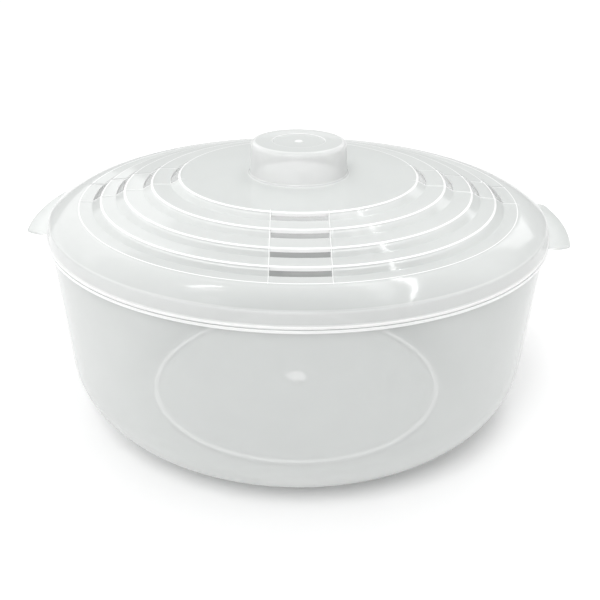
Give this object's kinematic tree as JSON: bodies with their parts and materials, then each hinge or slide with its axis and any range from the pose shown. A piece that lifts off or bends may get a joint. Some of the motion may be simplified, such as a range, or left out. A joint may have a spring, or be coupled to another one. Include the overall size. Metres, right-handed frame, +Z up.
{
  "type": "salad bowl with vented lid",
  "caption": "Round milky plastic bowl with side tabs and a lift-off terraced lid with louvre slots and a hollow knob.",
  "frame": {"origin": "on the floor at the centre of the foot ring", "axes": "+Z up through the knob, X from tab to tab, Y across the front and back slots"},
  "size_m": [0.2808, 0.2608, 0.1448],
  "materials": {
    "bowl": "milky translucent, glossy",
    "lid": "milky translucent, glossy"
  },
  "bodies": {
    "bowl": {"bowl": "bowl"},
    "lid": {"lid": "lid"}
  },
  "joints": [
    {"name": "lid_lift", "type": "slide", "parent": "bowl", "child": "lid", "axis": [0, 0, 1], "range_m": [0, 0.12]}
  ]
}
